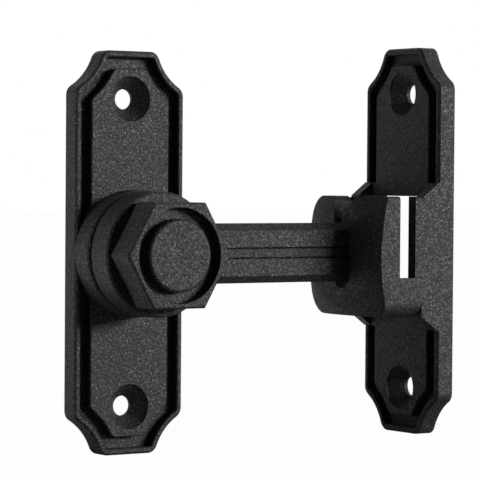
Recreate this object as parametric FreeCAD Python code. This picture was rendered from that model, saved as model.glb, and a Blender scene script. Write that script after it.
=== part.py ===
"""Barn door latch: a flip bar that pivots on a plate, and the hollow keeper that takes it.

Frame: +X from the pivot towards the keeper, +Y into the door, +Z up, in millimetres.
The origin is on the latch plate's mounting face, at the pivot axis.
"""
import FreeCAD
import Part
import math
import os

Vector = FreeCAD.Vector

# Both plates: a tablet with hollowed corners, a rim, a groove and a raised panel
PLATE_WIDTH = 25.0
PLATE_HEIGHT = 80.0
PLATE_THICKNESS = 4.0
CORNER_HOLLOW_RADIUS = 11.5
CORNER_CENTRE_FROM_SIDE = 5.0
CORNER_CENTRE_ABOVE_TOP = 2.8
CORNER_ROUND = 2.2
PLATE_EDGE_BEVEL = 0.45
RIM_WIDTH = 1.25
GROOVE_WIDTH = 2.3
GROOVE_DEPTH = 2.2
GROOVE_CORNER_ROUND = 1.0
PANEL_CORNER_ROUND = 1.6
GROOVE_EDGE_BEVEL = 0.2

# Screw holes in both plates
SCREW_SPACING = 61.0
SCREW_HOLE_DIAMETER = 4.0
COUNTERSINK_DIAMETER = 9.0
COUNTERSINK_STEP = 0.3
SCREW_HOLE_BACK_BEVEL = 0.4

# Pivot stack, from the latch plate outwards
BOSS_DIAMETER = 25.0
BOSS_HEIGHT = 4.85
REAR_WASHER_THICKNESS = 0.5
REAR_WASHER_DIAMETER = 19.0
HUB_DIAMETER = 24.6
HUB_THICKNESS = 6.2
SPRING_WASHER_DIAMETER = 17.0
SPRING_WASHER_THICKNESS = 0.3
SPRING_WASHER_RISE = 0.22
HEX_ACROSS_FLATS = 20.5
HEX_THICKNESS = 6.4
HEX_CORNER_CHAMFER = 0.35
TURNED_EDGE_BEVEL = 0.4
RUNNING_GAP = 0.05

# Pivot pin, with a flat round head sunk in the hexagonal collar and a tail flared in the plate
PIN_DIAMETER = 8.0
PIN_CLEARANCE = 0.05
PIN_HEAD_DIAMETER = 14.3
PIN_HEAD_PROUD = 0.15
PIN_HEAD_CHAMFER = 0.45
COUNTERBORE_DIAMETER = 18.6
COUNTERBORE_DEPTH = 2.3
PIN_TAIL_DIAMETER = 11.5
PIN_TAIL_RECESS = 0.3

# Bar of the arm, with a sunk strip between two fine lines down each face
BAR_REACH = 51.0
BAR_HEIGHT = 12.0
BAR_THICKNESS = 3.6
BAR_EDGE_CHAMFER = 1.45
BAR_TIP_ROUND = 1.5
CHANNEL_WIDTH = 2.4
CHANNEL_DEPTH = 0.2
CHANNEL_LINE_WIDTH = 0.4
CHANNEL_LINE_DEPTH = 0.6

# Keeper: where it stands, and the hollow box cast on its plate
KEEPER_MOUNT_FROM_PIVOT = 65.0
KEEPER_CENTRE_ABOVE_PIVOT = 2.2
BOX_HEIGHT = 15.3
BOX_WALL = 2.4
BOX_TOP_ABOVE_PIVOT = 11.5
BOX_BOTTOM_BELOW_PIVOT = 13.0
BOX_FLOOR = 2.6
END_WALL = 4.4
NEAR_BOTTOM_ROUND = 3.0
FAR_BOTTOM_ROUND = 4.5
NEAR_TOP_ROUND = 0.7
FAR_TOP_ROUND = 4.0
HOLLOW_ROUND = 1.2
NOSE_FLAT_DIAMETER = 20.0
NOSE_FALL_DEGREES = 18.0
CROSS_SLOT_CLEARANCE = 0.15
CROSS_SLOT_CENTRE_HEIGHT = 7.8
CROSS_SLOT_BOTTOM_BELOW_PIVOT = 5.1
BAR_SLOT_CLEARANCE = 0.9
BAR_SLOT_DROP = 1.4
BAR_SLOT_LIP_ROUND = 1.6
TOP_GUSSET_REACH = 3.7
TOP_GUSSET_RISE = 2.8
BOTTOM_GUSSET_REACH = 4.1
BOTTOM_GUSSET_DROP = 3.0

# How far a cutting shape stands clear of the surface it opens
OVERCUT = 1.0

# Stations along the pivot axis, measured from the mounting face
BOSS_FACE = PLATE_THICKNESS + BOSS_HEIGHT
HUB_BACK = BOSS_FACE + REAR_WASHER_THICKNESS + RUNNING_GAP
HUB_FRONT = HUB_BACK + HUB_THICKNESS
HUB_MIDDLE = (HUB_BACK + HUB_FRONT) / 2
SPRING_BACK = HUB_FRONT + RUNNING_GAP
HEX_BACK = SPRING_BACK + SPRING_WASHER_THICKNESS + SPRING_WASHER_RISE
HEX_FRONT = HEX_BACK + HEX_THICKNESS
COUNTERBORE_FLOOR = HEX_FRONT - COUNTERBORE_DEPTH
SHANK_HOLE_DIAMETER = PIN_DIAMETER + 2 * PIN_CLEARANCE

# Keeper heights, measured from its mounting face, and levels from its plate's centre
BOX_TOP = BOX_TOP_ABOVE_PIVOT - KEEPER_CENTRE_ABOVE_PIVOT
BOX_BOTTOM = -BOX_BOTTOM_BELOW_PIVOT - KEEPER_CENTRE_ABOVE_PIVOT
BOX_MIDDLE = (BOX_TOP + BOX_BOTTOM) / 2
NOSE_FACE = PLATE_THICKNESS + BOX_HEIGHT
HOLLOW_END = NOSE_FACE - END_WALL
HALF_WIDTH = PLATE_WIDTH / 2
HOLLOW_HALF_WIDTH = HALF_WIDTH - BOX_WALL
PIVOT_LEVEL = -KEEPER_CENTRE_ABOVE_PIVOT

# The box's long edges: side (1 near, -1 far), whether it is a top edge, and its rounding
BOX_CORNERS = (
    (1, False, NEAR_BOTTOM_ROUND),
    (-1, False, FAR_BOTTOM_ROUND),
    (1, True, NEAR_TOP_ROUND),
    (-1, True, FAR_TOP_ROUND),
)


def block(x0, x1, y0, y1, z0, z1):
    """Box between two corners."""
    return Part.makeBox(x1 - x0, y1 - y0, z1 - z0, Vector(x0, y0, z0))


def turned(profile):
    """Solid of revolution from (radius, height) points about the local Z axis."""
    points = [Vector(radius, 0, height) for radius, height in profile]
    face = Part.Face(Part.makePolygon(points + points[:1]))
    return face.revolve(Vector(0, 0, 0), Vector(0, 0, 1), 360)


def rod(diameter, bottom, top):
    """Cylinder about the local Z axis between two heights."""
    return Part.makeCylinder(diameter / 2, top - bottom, Vector(0, 0, bottom))


def on_pivot(shape):
    """Turn a shape made about local Z so that local Z points out of the door."""
    placed = shape.copy()
    placed.rotate(Vector(0, 0, 0), Vector(1, 0, 0), 90)
    return placed


def circular_edges(shape, diameter, height):
    """Round edges of one diameter that lie at one height about the local Z axis."""
    found = []
    for edge in shape.Edges:
        curve = edge.Curve
        if not isinstance(curve, Part.Circle):
            continue
        right_size = abs(curve.Radius - diameter / 2) < 1e-6
        if right_size and abs(curve.Center.z - height) < 1e-6:
            found.append(edge)
    return found


def upright_edges(shape):
    """Straight edges that run along local Z."""
    found = []
    for edge in shape.Edges:
        if not isinstance(edge.Curve, Part.Line):
            continue
        if abs(abs(edge.tangentAt(edge.FirstParameter).z) - 1) < 1e-6:
            found.append(edge)
    return found


def edges_at_height(shape, height):
    """Edges that lie flat in the plane at one height."""
    found = []
    for edge in shape.Edges:
        limits = edge.BoundBox
        if abs(limits.ZMin - height) < 1e-5 and abs(limits.ZMax - height) < 1e-5:
            found.append(edge)
    return found


def hollow_corner(inset):
    """Ends and middle of the top right corner's hollow, for an outline moved in by inset."""
    half_width = PLATE_WIDTH / 2 - inset
    half_height = PLATE_HEIGHT / 2 - inset
    centre_x = PLATE_WIDTH / 2 + CORNER_CENTRE_FROM_SIDE
    centre_y = PLATE_HEIGHT / 2 + CORNER_CENTRE_ABOVE_TOP
    radius = CORNER_HOLLOW_RADIUS + inset
    top_x = centre_x - math.sqrt(radius ** 2 - (centre_y - half_height) ** 2)
    side_y = centre_y - math.sqrt(radius ** 2 - (centre_x - half_width) ** 2)
    start = math.atan2(half_height - centre_y, top_x - centre_x)
    end = math.atan2(side_y - centre_y, half_width - centre_x)
    middle = (start + end) / 2
    middle_x = centre_x + radius * math.cos(middle)
    middle_y = centre_y + radius * math.sin(middle)
    return (top_x, half_height), (middle_x, middle_y), (half_width, side_y)


def tablet(inset, corner_round, bottom, top):
    """Plate outline moved in by inset, between two heights, with rounded corners."""
    top_end, middle, side_end = hollow_corner(inset)
    signs = ((1, 1), (1, -1), (-1, -1), (-1, 1))
    edges = []
    corners = []
    for index, (sx, sy) in enumerate(signs):
        ends = [Vector(sx * x, sy * y, bottom) for x, y in (top_end, middle, side_end)]
        if index % 2:
            ends.reverse()
        edges.append(Part.Arc(*ends).toShape())
        corners.append((ends[0], ends[2]))
    for index in range(4):
        leaving = corners[index][1]
        arriving = corners[(index + 1) % 4][0]
        edges.append(Part.makeLine(leaving, arriving))
    wire = Part.Wire(Part.__sortEdges__(edges))
    solid = Part.Face(wire).extrude(Vector(0, 0, top - bottom))
    return solid.makeFillet(corner_round, upright_edges(solid))


def plate_blank():
    """Plate with its bevelled front edge, before the groove and the holes."""
    blank = tablet(0, CORNER_ROUND, 0, PLATE_THICKNESS)
    return blank.makeChamfer(PLATE_EDGE_BEVEL, edges_at_height(blank, PLATE_THICKNESS))


def groove():
    """Ring of the groove between the rim and the raised panel."""
    floor = PLATE_THICKNESS - GROOVE_DEPTH
    above = PLATE_THICKNESS + OVERCUT
    outer = tablet(RIM_WIDTH, GROOVE_CORNER_ROUND, floor, above)
    inner_inset = RIM_WIDTH + GROOVE_WIDTH
    inner = tablet(inner_inset, PANEL_CORNER_ROUND, floor - OVERCUT, above + OVERCUT)
    return outer.cut(inner)


def grooved_plate(ring):
    """Plate with a groove cut in it, and the groove's brinks bevelled."""
    plate = plate_blank().cut(ring)
    rim_middle = (RIM_WIDTH + PLATE_EDGE_BEVEL) / 2
    inside_rim = tablet(rim_middle, GROOVE_CORNER_ROUND, 0, PLATE_THICKNESS + OVERCUT)
    brinks = []
    for edge in edges_at_height(plate, PLATE_THICKNESS):
        if inside_rim.isInside(edge.CenterOfMass, 1e-6, False):
            brinks.append(edge)
    return plate.makeChamfer(GROOVE_EDGE_BEVEL, brinks)


def screw_holes():
    """Two countersunk holes through a plate."""
    hole_radius = SCREW_HOLE_DIAMETER / 2
    sink_radius = COUNTERSINK_DIAMETER / 2
    sink_top = PLATE_THICKNESS - COUNTERSINK_STEP
    sink_floor = sink_top - (sink_radius - hole_radius)
    profile = (
        (0, -OVERCUT),
        (hole_radius + SCREW_HOLE_BACK_BEVEL + OVERCUT, -OVERCUT),
        (hole_radius, SCREW_HOLE_BACK_BEVEL),
        (hole_radius, sink_floor),
        (sink_radius, sink_top),
        (sink_radius, PLATE_THICKNESS + OVERCUT),
        (0, PLATE_THICKNESS + OVERCUT),
    )
    holes = []
    for side in (1, -1):
        hole = turned(profile)
        hole.translate(Vector(0, side * SCREW_SPACING / 2, 0))
        holes.append(hole)
    return holes


def pin_hole():
    """Hole through the plate and its boss, flared behind for the pin's tail."""
    tail_radius = PIN_TAIL_DIAMETER / 2 + PIN_CLEARANCE
    hole_radius = SHANK_HOLE_DIAMETER / 2
    return turned((
        (0, -OVERCUT),
        (tail_radius + OVERCUT, -OVERCUT),
        (hole_radius, tail_radius - hole_radius),
        (hole_radius, BOSS_FACE + OVERCUT),
        (0, BOSS_FACE + OVERCUT),
    ))


def latch_plate():
    """Plate cast in one with the round boss that carries the pivot."""
    plate = grooved_plate(groove())
    boss = rod(BOSS_DIAMETER, 0, BOSS_FACE)
    boss = boss.makeChamfer(TURNED_EDGE_BEVEL, circular_edges(boss, BOSS_DIAMETER, BOSS_FACE))
    return on_pivot(plate.fuse(boss).cut([pin_hole()] + screw_holes()))


def rear_washer():
    """Nylon washer on which the hub turns."""
    top = HUB_BACK - RUNNING_GAP
    disc = rod(REAR_WASHER_DIAMETER, BOSS_FACE, top)
    return on_pivot(disc.cut(rod(SHANK_HOLE_DIAMETER, BOSS_FACE - OVERCUT, top + OVERCUT)))


def spring_washer():
    """Dished steel washer that keeps the arm where it is put."""
    inner = SHANK_HOLE_DIAMETER / 2
    outer = SPRING_WASHER_DIAMETER / 2
    rise = SPRING_WASHER_RISE
    profile = (
        (inner, SPRING_BACK + rise),
        (outer, SPRING_BACK),
        (outer, SPRING_BACK + SPRING_WASHER_THICKNESS),
        (inner, SPRING_BACK + rise + SPRING_WASHER_THICKNESS),
    )
    return on_pivot(turned(profile))


def hex_collar():
    """Hexagonal collar with a round recess for the pin's head."""
    corner_radius = HEX_ACROSS_FLATS / 2 / math.cos(math.radians(30))
    corners = []
    for step in range(7):
        angle = math.radians(60 * step)
        corner_x = corner_radius * math.cos(angle)
        corner_y = corner_radius * math.sin(angle)
        corners.append(Vector(corner_x, corner_y, HEX_BACK))
    collar = Part.Face(Part.makePolygon(corners)).extrude(Vector(0, 0, HEX_THICKNESS))
    chamfered = collar.makeChamfer(HEX_CORNER_CHAMFER, edges_at_height(collar, HEX_FRONT))
    recess = rod(COUNTERBORE_DIAMETER, COUNTERBORE_FLOOR, HEX_FRONT + OVERCUT)
    bore = rod(SHANK_HOLE_DIAMETER, HEX_BACK - OVERCUT, HEX_FRONT)
    return on_pivot(chamfered.cut([recess, bore]))


def pivot_pin():
    """Riveted pin: flat round head in front, flared tail sunk in the plate's back."""
    shank = PIN_DIAMETER / 2
    head = PIN_HEAD_DIAMETER / 2
    head_face = HEX_FRONT + PIN_HEAD_PROUD
    tail = PIN_TAIL_DIAMETER / 2
    profile = (
        (0, PIN_TAIL_RECESS),
        (tail - PIN_TAIL_RECESS, PIN_TAIL_RECESS),
        (shank, tail - shank),
        (shank, COUNTERBORE_FLOOR),
        (head, COUNTERBORE_FLOOR),
        (head, head_face - PIN_HEAD_CHAMFER),
        (head - PIN_HEAD_CHAMFER, head_face),
        (0, head_face),
    )
    return on_pivot(turned(profile))


def channel_cut(side, low, high, depth):
    """Cut along one face of the bar, between two levels; side is 1 in front and -1 behind."""
    face = HUB_MIDDLE + side * BAR_THICKNESS / 2
    bottom, top = sorted((face - side * depth, face + side * OVERCUT))
    inner_end = HUB_DIAMETER / 2 - OVERCUT
    return block(inner_end, BAR_REACH + OVERCUT, low, high, bottom, top)


def bar_channels():
    """The sunk strip and its two lines, for both faces of the bar."""
    half = CHANNEL_WIDTH / 2
    line_start = half - CHANNEL_LINE_WIDTH
    cuts = []
    for side in (1, -1):
        cuts.append(channel_cut(side, -half, half, CHANNEL_DEPTH))
        cuts.append(channel_cut(side, line_start, half, CHANNEL_LINE_DEPTH))
        cuts.append(channel_cut(side, -half, -line_start, CHANNEL_LINE_DEPTH))
    return cuts


def bar():
    """Flat bar with bevelled long edges and a rounded tip."""
    half_height = BAR_HEIGHT / 2
    halfway = BAR_REACH / 2
    low = HUB_MIDDLE - BAR_THICKNESS / 2
    high = HUB_MIDDLE + BAR_THICKNESS / 2
    blank = block(0, BAR_REACH, -half_height, half_height, low, high)
    tip_edges = []
    for edge in upright_edges(blank):
        if edge.BoundBox.XMin > halfway:
            tip_edges.append(edge)
    blank = blank.makeFillet(BAR_TIP_ROUND, tip_edges)
    long_edges = []
    for edge in blank.Edges:
        limits = edge.BoundBox
        lies_flat = limits.ZLength < 1e-6
        at_hub = limits.XMax < halfway
        if lies_flat and not at_hub:
            long_edges.append(edge)
    return blank.makeChamfer(BAR_EDGE_CHAMFER, long_edges)


def latch_arm():
    """Hub ring and bar, cast in one."""
    hub = rod(HUB_DIAMETER, HUB_BACK, HUB_FRONT)
    rims = []
    for height in (HUB_BACK, HUB_FRONT):
        rims += circular_edges(hub, HUB_DIAMETER, height)
    hub = hub.makeChamfer(TURNED_EDGE_BEVEL, rims)
    bore = rod(SHANK_HOLE_DIAMETER, HUB_BACK - OVERCUT, HUB_FRONT + OVERCUT)
    return on_pivot(hub.fuse(bar().cut(bar_channels())).cut(bore))


def box_blank():
    """Outside of the keeper's box, with its long edges rounded."""
    blank = block(-HALF_WIDTH, HALF_WIDTH, BOX_BOTTOM, BOX_TOP, 0, NOSE_FACE)
    for side, is_top, radius in BOX_CORNERS:
        level = BOX_TOP if is_top else BOX_BOTTOM
        corner = []
        for edge in upright_edges(blank):
            centre = edge.BoundBox.Center
            if abs(centre.x - side * HALF_WIDTH) < 1e-3 and abs(centre.y - level) < 1e-3:
                corner.append(edge)
        blank = blank.makeFillet(radius, corner)
    return blank


def nose_cap():
    """Turned blank whose flat end and cone give the box its bevelled nose."""
    flat = NOSE_FLAT_DIAMETER / 2
    reach = PLATE_WIDTH
    fall = (reach - flat) * math.tan(math.radians(NOSE_FALL_DEGREES))
    cap = turned(((0, 0), (reach, 0), (reach, NOSE_FACE - fall), (flat, NOSE_FACE), (0, NOSE_FACE)))
    cap.translate(Vector(0, BOX_MIDDLE, 0))
    return cap


def gusset(side, is_top, root):
    """Flared foot of one side wall, from within the box's rounded edge."""
    if is_top:
        level, reach = BOX_TOP, TOP_GUSSET_REACH
        inner, foot = BOX_TOP - root, BOX_TOP + TOP_GUSSET_RISE
    else:
        level, reach = BOX_BOTTOM, BOTTOM_GUSSET_REACH
        inner, foot = BOX_BOTTOM + root, BOX_BOTTOM - BOTTOM_GUSSET_DROP
    outline = ((inner, 0), (inner, PLATE_THICKNESS + reach), (level, PLATE_THICKNESS + reach),
               (foot, PLATE_THICKNESS), (foot, 0), (inner, 0))
    points = [Vector(side * HALF_WIDTH, y, z) for y, z in outline]
    return Part.Face(Part.makePolygon(points)).extrude(Vector(-side * BOX_WALL, 0, 0))


def keeper_hollow():
    """Space inside the box: open at the top, and open behind through the plate."""
    floor = BOX_BOTTOM + BOX_FLOOR
    half = HOLLOW_HALF_WIDTH
    behind = block(-half, half, floor, BOX_TOP, -OVERCUT, HOLLOW_END)
    lower_edges = []
    for edge in upright_edges(behind):
        if edge.BoundBox.YMax < BOX_MIDDLE:
            lower_edges.append(edge)
    behind = behind.makeFillet(HOLLOW_ROUND, lower_edges)
    above = block(-half, half, BOX_MIDDLE, BOX_TOP + OVERCUT, PLATE_THICKNESS, HOLLOW_END)
    return behind.fuse(above)


def cross_slot():
    """Slot across both side walls, open at the top, for a bar that lies along the wall."""
    centre = PLATE_THICKNESS + CROSS_SLOT_CENTRE_HEIGHT
    half = BAR_THICKNESS / 2 + CROSS_SLOT_CLEARANCE
    bottom = PIVOT_LEVEL - CROSS_SLOT_BOTTOM_BELOW_PIVOT
    reach = HALF_WIDTH + OVERCUT
    return block(-reach, reach, bottom, BOX_TOP + OVERCUT, centre - half, centre + half)


def bar_slot():
    """Round-bottomed slot through the end wall, in which the bar lies, with rounded lips."""
    radius = BAR_THICKNESS / 2 + BAR_SLOT_CLEARANCE
    bottom = PIVOT_LEVEL - BAR_HEIGHT / 2 - BAR_SLOT_DROP
    round_centre = bottom + radius
    low = HOLLOW_END - OVERCUT
    high = NOSE_FACE + OVERCUT
    straight = block(-radius, radius, round_centre, BOX_TOP + OVERCUT, low, high)
    round_end = Part.makeCylinder(radius, high - low, Vector(0, round_centre, low))
    lip_centre = radius + BAR_SLOT_LIP_ROUND
    lip_level = BOX_TOP - BAR_SLOT_LIP_ROUND
    mouth = block(-lip_centre, lip_centre, lip_level, BOX_TOP + OVERCUT, low, high)
    lips = []
    for side in (1, -1):
        centre = Vector(side * lip_centre, lip_level, low)
        lips.append(Part.makeCylinder(BAR_SLOT_LIP_ROUND, high - low, centre))
    return straight.fuse([round_end, mouth.cut(lips)])


def box_band():
    """Block over the levels of the plate where the box and its feet stand."""
    low = BOX_BOTTOM - BOTTOM_GUSSET_DROP
    high = BOX_TOP + TOP_GUSSET_RISE
    return block(-PLATE_WIDTH, PLATE_WIDTH, low, high, -OVERCUT, PLATE_THICKNESS + 2 * OVERCUT)


def keeper_plate():
    """Keeper: plate and hollow box cast in one, made flat and stood facing the pivot."""
    body = grooved_plate(groove().cut(box_band()))
    body = body.fuse(box_blank().common(nose_cap()))
    feet = [gusset(side, is_top, root) for side, is_top, root in BOX_CORNERS]
    body = body.fuse(feet)
    body = body.cut([keeper_hollow(), cross_slot(), bar_slot()] + screw_holes())
    body = body.removeSplitter()
    facing = FreeCAD.Rotation(Vector(0, -1, 0), Vector(0, 0, 1), Vector(-1, 0, 0), "ZYX")
    place = Vector(KEEPER_MOUNT_FROM_PIVOT, -HUB_MIDDLE, KEEPER_CENTRE_ABOVE_PIVOT)
    body.Placement = FreeCAD.Placement(place, facing)
    return body


NODES = {
    "latch_plate": latch_plate,
    "rear_washer": rear_washer,
    "latch_arm": latch_arm,
    "spring_washer": spring_washer,
    "hex_collar": hex_collar,
    "pivot_pin": pivot_pin,
    "keeper_plate": keeper_plate,
}


def main():
    """Build every node and write its file."""
    os.makedirs("parts", exist_ok=True)
    for name, build in NODES.items():
        shape = build()
        solids = shape.Solids
        assert len(solids) == 1, name + " is not one solid"
        assert shape.isValid(), name + " is not valid"
        solids[0].exportStep("parts/" + name + ".step")
        print(name, round(shape.Volume, 1))


main()
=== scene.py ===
"""Barn door latch: visible castings, washers, powder coat, studio and camera on the fixed frame."""
import math

import bmesh
import bpy
from bpy.props import FloatProperty, FloatVectorProperty, IntProperty, PointerProperty
from bpy.types import Operator, Panel, PropertyGroup
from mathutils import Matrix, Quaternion, Vector


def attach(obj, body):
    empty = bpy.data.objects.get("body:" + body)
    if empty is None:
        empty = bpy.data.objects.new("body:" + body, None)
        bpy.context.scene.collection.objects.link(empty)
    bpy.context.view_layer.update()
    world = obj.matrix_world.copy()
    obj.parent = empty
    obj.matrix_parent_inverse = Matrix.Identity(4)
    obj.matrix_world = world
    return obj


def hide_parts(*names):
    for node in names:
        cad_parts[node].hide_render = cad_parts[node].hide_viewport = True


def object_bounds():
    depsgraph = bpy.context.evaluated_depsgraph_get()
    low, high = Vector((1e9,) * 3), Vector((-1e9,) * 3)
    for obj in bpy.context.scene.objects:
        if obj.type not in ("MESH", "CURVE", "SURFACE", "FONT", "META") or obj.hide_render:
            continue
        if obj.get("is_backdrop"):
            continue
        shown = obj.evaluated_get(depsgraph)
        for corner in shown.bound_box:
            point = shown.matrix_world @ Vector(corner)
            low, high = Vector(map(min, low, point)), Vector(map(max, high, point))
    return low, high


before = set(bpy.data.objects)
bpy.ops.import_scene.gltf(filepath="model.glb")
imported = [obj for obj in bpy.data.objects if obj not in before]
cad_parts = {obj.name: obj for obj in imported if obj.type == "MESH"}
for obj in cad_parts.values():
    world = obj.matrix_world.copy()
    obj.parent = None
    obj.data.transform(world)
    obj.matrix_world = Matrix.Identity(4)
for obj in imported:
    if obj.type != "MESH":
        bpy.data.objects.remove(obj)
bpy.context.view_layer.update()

bl_info = {
    "name": "Barn door latch",
    "version": (1, 0, 0),
    "blender": (4, 5, 0),
    "location": "View3D > Sidebar > Latch",
    "description": "Builds the visible pieces of a barn door latch and the stage they stand on",
    "category": "Object",
}

MM = 0.001
FIXED = "fixed_parts"
ARM = "arm"

# The channel along the bar, in the frame: it starts at the hub and has a fine line at each side.
CHANNEL_START = 11.5 * MM
CHANNEL_HALF = 1.2 * MM
LINE_WIDTH = 0.4 * MM
# An edge in the channel that is longer than this runs along it.
ALONG_CHANNEL = 8 * MM
# A point that is this near to a limit counts as on it.
TOUCH = 0.05 * MM

# Points nearer to each other than this are welded.
WELD_DISTANCE = 0.001 * MM
# Faces that meet at less than this angle are joined.
FLAT_ANGLE = math.radians(0.6)
# Above 50, large faces count for more in the shading across an edge than their area gives them.
LARGE_FACE_WEIGHT = 60


def linear(code):
    """Turn an sRGB hex colour into linear red, green and blue."""
    values = [int(code[i:i + 2], 16) / 255 for i in (1, 3, 5)]
    return tuple(v / 12.92 if v <= 0.04045 else ((v + 0.055) / 1.055) ** 2.4 for v in values)


def add_node(tree, kind, inputs=None, links=None, **settings):
    """Add one node, set its values and settings, and link sockets into it."""
    node = tree.nodes.new(kind)
    for name, value in settings.items():
        setattr(node, name, value)
    for name, value in (inputs or {}).items():
        node.inputs[name].default_value = value
    for name, socket in (links or {}).items():
        tree.links.new(socket, node.inputs[name])
    return node


def new_material(name):
    """Empty node material; returns it with its tree."""
    material = bpy.data.materials.new(name)
    material.use_nodes = True
    material.node_tree.nodes.clear()
    return material, material.node_tree


def shared_material(name, make, **details):
    """The material of that name, made the first time it is asked for."""
    return bpy.data.materials.get(name) or make(name, **details)


# Settings


class CastingSettings(PropertyGroup):
    """Rounding that the coat leaves on cast edges."""
    edge_width: FloatProperty(
        name="Edge rounding", description="Width of the rounding along each cast edge",
        default=0.16 * MM, min=0.0, unit="LENGTH")
    edge_segments: IntProperty(
        name="Edge steps", description="Facets across each rounded edge", default=2, min=1, max=4)
    edge_angle: FloatProperty(
        name="Edge angle", description="Faces that meet at more than this angle get a rounded edge",
        default=math.radians(24), subtype="ANGLE")
    sharp_angle: FloatProperty(
        name="Sharp angle", description="Shading breaks between faces that meet at more than this angle",
        default=math.radians(40), subtype="ANGLE")
    line_depth: FloatProperty(
        name="Line depth", description="How much deeper the two fine lines along the bar are cut",
        default=0.7 * MM, min=0.0, unit="LENGTH")


class CoatSettings(PropertyGroup):
    """Sand-texture powder coat on the castings."""
    # The coat is painted darker in the hollows of its grain, as painted shade, and lighter on the grain
    # tops, as painted highlight.
    base: FloatVectorProperty(
        name="Coat", description="Colour of the coat in its hollows",
        default=linear("#0e0e0f"), size=3, subtype="COLOR")
    grain_top_highlight: FloatVectorProperty(
        name="Grain tops", description="Colour of the tops of the coat's grain",
        default=linear("#242425"), size=3, subtype="COLOR")
    fleck: FloatVectorProperty(
        name="Flecks", description="Colour of the bright grains in the coat",
        default=linear("#5e5e60"), size=3, subtype="COLOR")
    fleck_roughness: FloatProperty(
        name="Fleck roughness", description="Roughness of the bright grains",
        default=0.38, min=0.0, max=1.0, subtype="FACTOR")
    grain_size: FloatProperty(
        name="Grain", description="Spacing of the sand texture",
        default=0.45 * MM, min=0.01 * MM, unit="LENGTH")
    grain_height: FloatProperty(
        name="Grain height", description="Height of the sand texture",
        default=0.12 * MM, min=0.0, unit="LENGTH")
    fleck_size: FloatProperty(
        name="Fleck spacing", description="Spacing of the bright grains",
        default=0.44 * MM, min=0.01 * MM, unit="LENGTH")
    roughness: FloatProperty(
        name="Roughness", description="Roughness of the coat",
        default=0.62, min=0.0, max=1.0, subtype="FACTOR")


class StageSettings(PropertyGroup):
    """Floor and camera."""
    floor: FloatVectorProperty(
        name="Floor", description="Colour of the floor",
        default=linear("#b0b0ae"), size=3, subtype="COLOR")
    azimuth: FloatProperty(
        name="Camera azimuth", description="Camera angle round the object",
        default=math.radians(-34.0), subtype="ANGLE")
    elevation: FloatProperty(
        name="Camera elevation", description="Camera angle above the horizon",
        default=math.radians(1.42), subtype="ANGLE")
    roll: FloatProperty(
        name="Camera roll", description="Lean of the camera",
        default=math.radians(0.42), subtype="ANGLE")
    distance: FloatProperty(
        name="Camera distance", description="From the camera to the point it looks at",
        default=0.52, unit="LENGTH")
    lens: FloatProperty(
        name="Lens", description="Focal length in millimetres", default=195.4, unit="CAMERA")


# Materials


# The coat's colour drifts a little over this distance.
DRIFT_SIZE = 6 * MM
# The higher this power, the fewer the bright grains.
FLECK_RARITY = 2.1
# How far the roughness goes up in the coat's hollows, and down on its tops
HOLLOW_DULLER = 0.1
TOP_SMOOTHER = 0.08


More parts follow.
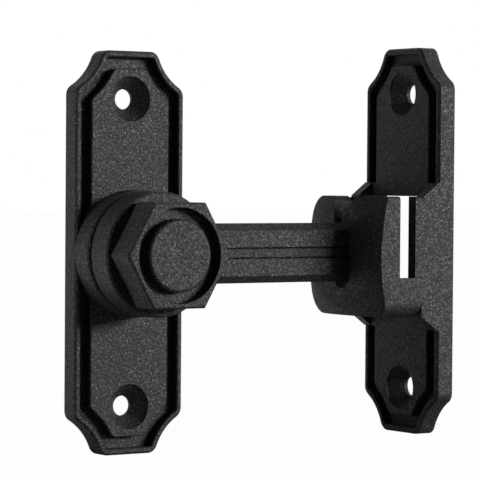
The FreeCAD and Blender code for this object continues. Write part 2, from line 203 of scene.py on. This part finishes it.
def powder_coat(name, coat, flecks):
    """Black sand-texture polyester powder coat, baked on a zinc casting.

    A fine pebbled coat, dull but not matt; its grain is painted lighter on its tops and darker in its
    hollows, as painted highlight and shade. Small grains stand out smoother and paler than the rest, and
    glint where they face a lamp. flecks is their share: 1 on the open faces, and less in the bar's
    channel, where fewer pale grains paint the channel darker as painted shade.
    """
    material, tree = new_material(name)
    place = add_node(tree, "ShaderNodeTexCoord").outputs["Object"]
    grain = add_node(
        tree, "ShaderNodeTexNoise", {"Scale": 1 / coat.grain_size, "Detail": 2.0, "Roughness": 0.55},
        {"Vector": place})
    cells = add_node(
        tree, "ShaderNodeTexVoronoi", {"Scale": 1 / coat.fleck_size, "Randomness": 1.0},
        {"Vector": place})
    drift = add_node(
        tree, "ShaderNodeTexNoise", {"Scale": 1 / DRIFT_SIZE, "Detail": 1.0}, {"Vector": place})
    # The upper part of the noise is the tops of the grains. The colour paints them lighter and the
    # hollows darker, as painted highlight and painted shade.
    tops = add_node(
        tree, "ShaderNodeMapRange", {"From Min": 0.42, "From Max": 0.66},
        {"Value": grain.outputs["Fac"]})
    painted_grain_shading = add_node(
        tree, "ShaderNodeMix", {"A": (*coat.base, 1), "B": (*coat.grain_top_highlight, 1)},
        {"Factor": tops.outputs["Result"]}, data_type="RGBA")
    shade = add_node(
        tree, "ShaderNodeMapRange", {"From Min": 0.3, "From Max": 0.7, "To Min": 0.88, "To Max": 1.12},
        {"Value": drift.outputs["Fac"]})
    drifted = add_node(
        tree, "ShaderNodeMix", {"Factor": 1.0},
        {"A": painted_grain_shading.outputs["Result"], "B": shade.outputs["Result"]},
        data_type="RGBA", blend_type="MULTIPLY")
    # A bright grain is whole to 0.16 of the spacing from its middle, and gone at half the spacing.
    near = add_node(
        tree, "ShaderNodeMapRange", {"From Min": 0.5, "From Max": 0.16, "To Max": flecks},
        {"Value": cells.outputs["Distance"]})
    luck = add_node(tree, "ShaderNodeSeparateColor", links={"Color": cells.outputs["Color"]})
    rare = add_node(
        tree, "ShaderNodeMath", {1: FLECK_RARITY}, {0: luck.outputs["Red"]}, operation="POWER")
    fleck = add_node(
        tree, "ShaderNodeMath", links={0: near.outputs["Result"], 1: rare.outputs["Value"]},
        operation="MULTIPLY")
    colour = add_node(
        tree, "ShaderNodeMix", {"B": (*coat.fleck, 1)},
        {"Factor": fleck.outputs["Value"], "A": drifted.outputs["Result"]}, data_type="RGBA")
    dull = add_node(
        tree, "ShaderNodeMapRange",
        {"To Min": coat.roughness + HOLLOW_DULLER, "To Max": coat.roughness - TOP_SMOOTHER},
        {"Value": tops.outputs["Result"]})
    gloss = add_node(
        tree, "ShaderNodeMix", {"B": coat.fleck_roughness},
        {"Factor": fleck.outputs["Value"], "A": dull.outputs["Result"]}, data_type="FLOAT")
    relief = add_node(
        tree, "ShaderNodeBump", {"Strength": 1.0, "Distance": coat.grain_height},
        {"Height": grain.outputs["Fac"]})
    shader = add_node(
        tree, "ShaderNodeBsdfPrincipled", {"IOR": 1.46},
        {
            "Base Color": colour.outputs["Result"],
            "Roughness": gloss.outputs["Result"],
            "Normal": relief.outputs["Normal"],
        })
    add_node(tree, "ShaderNodeOutputMaterial", links={"Surface": shader.outputs["BSDF"]})
    return material


def coat_material(context):
    """The powder coat of the open faces."""
    coat = context.scene.latch_coat
    return shared_material("black_sand_powder_coat", powder_coat, coat=coat, flecks=1.0)


def painted_shade_coat_material(context):
    """The same coat in a narrow channel, with few pale grains, which paints the channel darker as painted
    shade.
    """
    coat = context.scene.latch_coat
    return shared_material("black_powder_coat_painted_shade", powder_coat, coat=coat, flecks=0.15)


# The gloss of the moulded nylon clouds over about this distance.
CLOUD_SIZE = 1.5 * MM


def nylon(name):
    """Black nylon 6, injection moulded: smooth, with a soft gloss that clouds a little."""
    material, tree = new_material(name)
    place = add_node(tree, "ShaderNodeTexCoord").outputs["Object"]
    cloud = add_node(
        tree, "ShaderNodeTexNoise", {"Scale": 1 / CLOUD_SIZE, "Detail": 3.0}, {"Vector": place})
    colour = add_node(
        tree, "ShaderNodeMix", {"A": (*linear("#161616"), 1), "B": (*linear("#1f1f20"), 1)},
        {"Factor": cloud.outputs["Fac"]}, data_type="RGBA")
    dull = add_node(
        tree, "ShaderNodeMapRange", {"To Min": 0.38, "To Max": 0.5}, {"Value": cloud.outputs["Fac"]})
    shader = add_node(
        tree, "ShaderNodeBsdfPrincipled", {"IOR": 1.53},
        {"Base Color": colour.outputs["Result"], "Roughness": dull.outputs["Result"]})
    add_node(tree, "ShaderNodeOutputMaterial", links={"Surface": shader.outputs["BSDF"]})
    return material


# Grinding leaves finer rings than this. They are drawn as coarse as they need to be to show.
RING_SPACING = 0.377 * MM
# Rings that the wave texture draws over one unit at a scale of 1
RINGS_PER_UNIT = 10 / math.pi


def spring_steel(name):
    """Blued spring steel, ground on its faces: dark, with fine rings that streak its gloss."""
    material, tree = new_material(name)
    place = add_node(tree, "ShaderNodeTexCoord").outputs["Object"]
    rings = add_node(
        tree, "ShaderNodeTexWave",
        {"Scale": 1 / (RING_SPACING * RINGS_PER_UNIT), "Distortion": 0.6, "Detail": 2.0},
        {"Vector": place}, wave_type="RINGS", rings_direction="Y")
    colour = add_node(
        tree, "ShaderNodeMix", {"A": (*linear("#2c2d31"), 1), "B": (*linear("#45464b"), 1)},
        {"Factor": rings.outputs["Fac"]}, data_type="RGBA")
    dull = add_node(
        tree, "ShaderNodeMapRange", {"To Min": 0.28, "To Max": 0.42}, {"Value": rings.outputs["Fac"]})
    shader = add_node(
        tree, "ShaderNodeBsdfPrincipled", {"Metallic": 1.0},
        {"Base Color": colour.outputs["Result"], "Roughness": dull.outputs["Result"]})
    add_node(tree, "ShaderNodeOutputMaterial", links={"Surface": shader.outputs["BSDF"]})
    return material


# Pieces


def in_channel(vert):
    """A point on the channel's floor or in its fine lines."""
    return vert.co.x > CHANNEL_START and abs(vert.co.z) < CHANNEL_HALF + TOUCH


def in_line(vert):
    """A point in one of the two fine lines."""
    return in_channel(vert) and abs(vert.co.z) > CHANNEL_HALF - LINE_WIDTH - TOUCH


def along_channel(edge):
    """A long edge of the channel or its lines."""
    return all(in_channel(vert) for vert in edge.verts) and edge.calc_length() > ALONG_CHANNEL


def line_floor(face):
    """The floor of one of the two fine lines, which faces out of the bar."""
    return abs(face.normal.y) > 0.9 and all(in_line(vert) for vert in face.verts)


def deepen_lines(form, depth):
    """Cut the two fine lines deeper into the bar, on both of its faces."""
    inward = {}
    for face in form.faces:
        if line_floor(face):
            inward.update({vert: -face.normal.y for vert in face.verts})
    for vert, way in inward.items():
        vert.co.y += way * depth


def merged_copy(node_name):
    """One welded mesh of a node, in the frame, with its flat faces whole again."""
    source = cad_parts[node_name]
    form = bmesh.new()
    form.from_mesh(source.data)
    form.transform(source.matrix_world)
    bmesh.ops.remove_doubles(form, verts=form.verts, dist=WELD_DISTANCE)
    bmesh.ops.dissolve_limit(
        form, angle_limit=FLAT_ANGLE, use_dissolve_boundaries=False,
        verts=form.verts, edges=form.edges)
    return form


def round_edges(form, settings, crisp=()):
    """Round every edge that the coat softens; the crisp ones stay as they are."""
    soft = []
    for edge in form.edges:
        if edge.is_manifold and edge.calc_face_angle() > settings.edge_angle and edge not in crisp:
            soft.append(edge)
    bmesh.ops.bevel(
        form, geom=soft, offset=settings.edge_width, offset_type="OFFSET", affect="EDGES",
        segments=settings.edge_segments, profile=0.5, material=-1, clamp_overlap=True)
    for face in form.faces:
        face.smooth = True
    for edge in form.edges:
        edge.smooth = edge.calc_face_angle(0) < settings.sharp_angle


def dress_casting(context, form, node_name, piece_name, body):
    """Coated piece from a form, in place of its node, riding on a body."""
    mesh = bpy.data.meshes.new(piece_name)
    form.to_mesh(mesh)
    form.free()
    piece = bpy.data.objects.new(piece_name, mesh)
    context.scene.collection.objects.link(piece)
    weighted = piece.modifiers.new("even_shading", "WEIGHTED_NORMAL")
    weighted.keep_sharp = True
    weighted.weight = LARGE_FACE_WEIGHT
    mesh.materials.append(coat_material(context))
    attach(piece, body)
    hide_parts(node_name)
    return piece


def fixed_casting(context, node_name, piece_name):
    """Rounded and coated copy of a casting that doesn't move."""
    form = merged_copy(node_name)
    round_edges(form, context.scene.latch_castings)
    dress_casting(context, form, node_name, piece_name, FIXED)


class LATCH_OT_latch_plate(Operator):
    """Cast latch plate with its round boss"""
    bl_idname = "latch.latch_plate"
    bl_label = "Latch plate"

    def execute(self, context):
        fixed_casting(context, "latch_plate", "latch_plate_casting")
        return {"FINISHED"}


class LATCH_OT_pivot(Operator):
    """Hexagonal collar and the riveted pin in it"""
    bl_idname = "latch.pivot"
    bl_label = "Pivot"

    def execute(self, context):
        fixed_casting(context, "hex_collar", "hex_collar_casting")
        fixed_casting(context, "pivot_pin", "pivot_pin_coated")
        return {"FINISHED"}


class LATCH_OT_washers(Operator):
    """Nylon washer behind the hub and spring washer in front of it"""
    bl_idname = "latch.washers"
    bl_label = "Washers"

    def execute(self, context):
        finishes = {
            "rear_washer": shared_material("black_moulded_nylon", nylon),
            "spring_washer": shared_material("blued_spring_steel", spring_steel),
        }
        for name, material in finishes.items():
            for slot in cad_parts[name].material_slots:
                slot.material = material
        return {"FINISHED"}


class LATCH_OT_arm(Operator):
    """Swinging arm: hub, and bar with its lined channel"""
    bl_idname = "latch.arm"
    bl_label = "Arm"

    def execute(self, context):
        settings = context.scene.latch_castings
        form = merged_copy("latch_arm")
        deepen_lines(form, settings.line_depth)
        # The long edges along the channel stay crisp under the coat.
        crisp = {edge for edge in form.edges if along_channel(edge)}
        round_edges(form, settings, crisp)
        # The channel's faces take the second material, the coat with few pale grains, as painted shade in
        # the channel.
        for face in form.faces:
            face.material_index = 1 if all(in_channel(vert) for vert in face.verts) else 0
        piece = dress_casting(context, form, "latch_arm", "latch_arm_casting", ARM)
        piece.data.materials.append(painted_shade_coat_material(context))
        return {"FINISHED"}


class LATCH_OT_keeper(Operator):
    """Keeper plate with its hollow slotted box"""
    bl_idname = "latch.keeper"
    bl_label = "Keeper"

    def execute(self, context):
        fixed_casting(context, "keeper_plate", "keeper_casting")
        return {"FINISHED"}


# Stage


# The point that the camera and the lamps face
AIM = Vector((20.2, -13.0, 2.66)) * MM

FLOOR_HALF = 3000 * MM
FLOOR_GAP = 0.05 * MM
# The floor's share of plain white to the camera; the rest keeps the shadow.
FLOOR_SEEN = 0.98
# In gloss the floor is dark in front, and rises to this share of white at this distance behind.
FLOOR_MIRRORED = 0.9
WHITE_BEHIND = 30 * MM

# The white sweep in gloss, by direction. Height counts this much of what depth does, and the white
# comes in between two levels of their sum.
SWEEP_RISE = 0.7
SWEEP_LEVELS = (0.25, 0.55)
# It fades out to the left between these two.
SWEEP_LEFT = (-0.45, 0.05)
# The share of white that is left in the dark room in front
ROOM_MIRRORED = 0.02
# Even light from all round, which keeps the shadows from being black
FILL = 0.022


def background_share(tree, seen, mirrored):
    """Socket with a ray's share of plain white: seen by the camera, mirrored in gloss and glass."""
    path = add_node(tree, "ShaderNodeLightPath")
    indirect = add_node(
        tree, "ShaderNodeMath",
        links={0: path.outputs["Is Glossy Ray"], 1: path.outputs["Is Transmission Ray"]},
        operation="MAXIMUM")
    reflected = add_node(
        tree, "ShaderNodeMath", links={0: indirect.outputs["Value"], 1: mirrored},
        operation="MULTIPLY")
    direct = add_node(
        tree, "ShaderNodeMath", {1: seen}, {0: path.outputs["Is Camera Ray"]}, operation="MULTIPLY")
    both = add_node(
        tree, "ShaderNodeMath",
        links={0: direct.outputs["Value"], 1: reflected.outputs["Value"]}, operation="MAXIMUM")
    return both.outputs["Value"]


def paper_floor(name, colour):
    """Pale studio paper: matt, and near white to the camera, with the object's shadow kept."""
    material, tree = new_material(name)
    matt = add_node(
        tree, "ShaderNodeBsdfPrincipled", {"Base Color": (*colour, 1), "Roughness": 0.9})
    glow = add_node(tree, "ShaderNodeEmission", {"Color": (1, 1, 1, 1), "Strength": 1.0})
    place = add_node(tree, "ShaderNodeTexCoord").outputs["Object"]
    axes = add_node(tree, "ShaderNodeSeparateXYZ", links={"Vector": place})
    behind = add_node(
        tree, "ShaderNodeMapRange", {"From Min": 0.0, "From Max": WHITE_BEHIND, "To Max": FLOOR_MIRRORED},
        {"Value": axes.outputs["Y"]}, interpolation_type="SMOOTHSTEP")
    share = background_share(tree, seen=FLOOR_SEEN, mirrored=behind.outputs["Result"])
    mixed = add_node(
        tree, "ShaderNodeMixShader",
        links={0: share, 1: matt.outputs["BSDF"], 2: glow.outputs["Emission"]})
    add_node(tree, "ShaderNodeOutputMaterial", links={"Surface": mixed.outputs["Shader"]})
    return material


def make_floor(context, level):
    """Flat pale floor under the object."""
    sheet = bmesh.new()
    bmesh.ops.create_grid(sheet, x_segments=1, y_segments=1, size=FLOOR_HALF)
    bmesh.ops.translate(sheet, verts=sheet.verts, vec=(0, 0, level))
    mesh = bpy.data.meshes.new("floor")
    sheet.to_mesh(mesh)
    sheet.free()
    floor = bpy.data.objects.new("floor", mesh)
    context.scene.collection.objects.link(floor)
    colour = context.scene.latch_stage.floor
    mesh.materials.append(shared_material("pale_studio_paper", paper_floor, colour=colour))
    floor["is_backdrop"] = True


def direction(azimuth, elevation):
    """Unit vector from the object at an angle round it (0 in front, 90 to the right) and above level."""
    return Vector((
        math.sin(azimuth) * math.cos(elevation),
        -math.cos(azimuth) * math.cos(elevation),
        math.sin(elevation),
    ))


def make_lamp(context, name, degrees, distance, size, power):
    """Soft lamp that faces the object, at (azimuth, elevation) degrees; size is (width, height)."""
    azimuth, elevation = map(math.radians, degrees)
    away = direction(azimuth, elevation)
    data = bpy.data.lights.new(name, "AREA")
    data.shape = "RECTANGLE"
    data.size, data.size_y = size
    data.energy = power
    lamp = bpy.data.objects.new(name, data)
    lamp.location = AIM + away * distance
    lamp.rotation_euler = (-away).to_track_quat("-Z", "Y").to_euler()
    lamp.visible_camera = False
    context.scene.collection.objects.link(lamp)


def sweep_share(tree):
    """Socket with the white share of the surroundings in gloss, by direction.

    The sweep behind the object and over it is white. The room in front, and to the left, is dark.
    """
    way = add_node(tree, "ShaderNodeTexCoord").outputs["Object"]
    axes = add_node(tree, "ShaderNodeSeparateXYZ", links={"Vector": way})
    lean = add_node(
        tree, "ShaderNodeMath", {1: SWEEP_RISE}, {0: axes.outputs["Z"], 2: axes.outputs["Y"]},
        operation="MULTIPLY_ADD")
    behind = add_node(
        tree, "ShaderNodeMapRange",
        {"From Min": SWEEP_LEVELS[0], "From Max": SWEEP_LEVELS[1], "To Min": ROOM_MIRRORED},
        {"Value": lean.outputs["Value"]}, interpolation_type="SMOOTHSTEP")
    aside = add_node(
        tree, "ShaderNodeMapRange", {"From Min": SWEEP_LEFT[0], "From Max": SWEEP_LEFT[1]},
        {"Value": axes.outputs["X"]})
    white = add_node(
        tree, "ShaderNodeMath", links={0: behind.outputs["Result"], 1: aside.outputs["Result"]},
        operation="MULTIPLY")
    return white.outputs["Value"]


def make_world(context):
    """White to the camera, a white sweep in gloss, and a faint even fill for the rest."""
    world = bpy.data.worlds.new("studio_world")
    world.use_nodes = True
    tree = world.node_tree
    tree.nodes.clear()
    fill = add_node(tree, "ShaderNodeBackground", {"Color": (1, 1, 1, 1), "Strength": FILL})
    white = add_node(tree, "ShaderNodeBackground", {"Color": (1, 1, 1, 1), "Strength": 1.0})
    share = background_share(tree, seen=1.0, mirrored=sweep_share(tree))
    mixed = add_node(
        tree, "ShaderNodeMixShader",
        links={0: share, 1: fill.outputs["Background"], 2: white.outputs["Background"]})
    add_node(tree, "ShaderNodeOutputWorld", links={"Surface": mixed.outputs["Shader"]})
    context.scene.world = world


def make_camera(context):
    """Camera from the left, almost level, and leaning a little."""
    stage = context.scene.latch_stage
    away = direction(stage.azimuth, stage.elevation)
    data = bpy.data.cameras.new("camera")
    data.lens = stage.lens
    data.sensor_width = 36
    data.clip_start = 0.01
    camera = bpy.data.objects.new("camera", data)
    camera.location = AIM + away * stage.distance
    turn = (-away).to_track_quat("-Z", "Y") @ Quaternion((0, 0, 1), stage.roll)
    camera.rotation_euler = turn.to_euler()
    context.scene.collection.objects.link(camera)
    context.scene.camera = camera


class LATCH_OT_stage(Operator):
    """Floor, lights, world and camera"""
    bl_idname = "latch.stage"
    bl_label = "Stage"

    def execute(self, context):
        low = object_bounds()[0]
        make_floor(context, low[2] - FLOOR_GAP)
        make_lamp(
            context, "key", degrees=(38, 12), distance=1.2, size=(0.7, 0.22), power=15.2)
        # The left lamp is small and close, so its light fades towards the keeper.
        make_lamp(
            context, "left", degrees=(-103, 4), distance=0.14, size=(0.09, 0.18), power=0.09)
        make_world(context)
        make_camera(context)
        context.scene.view_settings.view_transform = "Standard"
        return {"FINISHED"}


STEPS = (
    LATCH_OT_latch_plate,
    LATCH_OT_pivot,
    LATCH_OT_washers,
    LATCH_OT_arm,
    LATCH_OT_keeper,
    LATCH_OT_stage,
)
SETTINGS = {
    "latch_castings": CastingSettings,
    "latch_coat": CoatSettings,
    "latch_stage": StageSettings,
}


class LATCH_PT_build(Panel):
    """Steps that build the latch, in order, and their settings"""
    bl_label = "Barn door latch"
    bl_idname = "LATCH_PT_build"
    bl_space_type = "VIEW_3D"
    bl_region_type = "UI"
    bl_category = "Latch"

    def draw(self, context):
        column = self.layout.column()
        for step in STEPS:
            column.operator(step.bl_idname)
        for holder, group in SETTINGS.items():
            settings = getattr(context.scene, holder)
            for name in group.__annotations__:
                column.prop(settings, name)


def register():
    """Register every class and hang the settings on the scene."""
    for holder, group in SETTINGS.items():
        bpy.utils.register_class(group)
        setattr(bpy.types.Scene, holder, PointerProperty(type=group))
    for cls in (*STEPS, LATCH_PT_build):
        bpy.utils.register_class(cls)


def unregister():
    """Take the classes and settings off again."""
    for cls in (LATCH_PT_build, *reversed(STEPS)):
        bpy.utils.unregister_class(cls)
    for holder, group in SETTINGS.items():
        delattr(bpy.types.Scene, holder)
        bpy.utils.unregister_class(group)


def main():
    """Build the pieces in order."""
    register()
    bpy.ops.latch.latch_plate()
    bpy.ops.latch.pivot()
    bpy.ops.latch.washers()
    bpy.ops.latch.arm()
    bpy.ops.latch.keeper()
    bpy.ops.latch.stage()


if __name__ == "__main__":
    main()
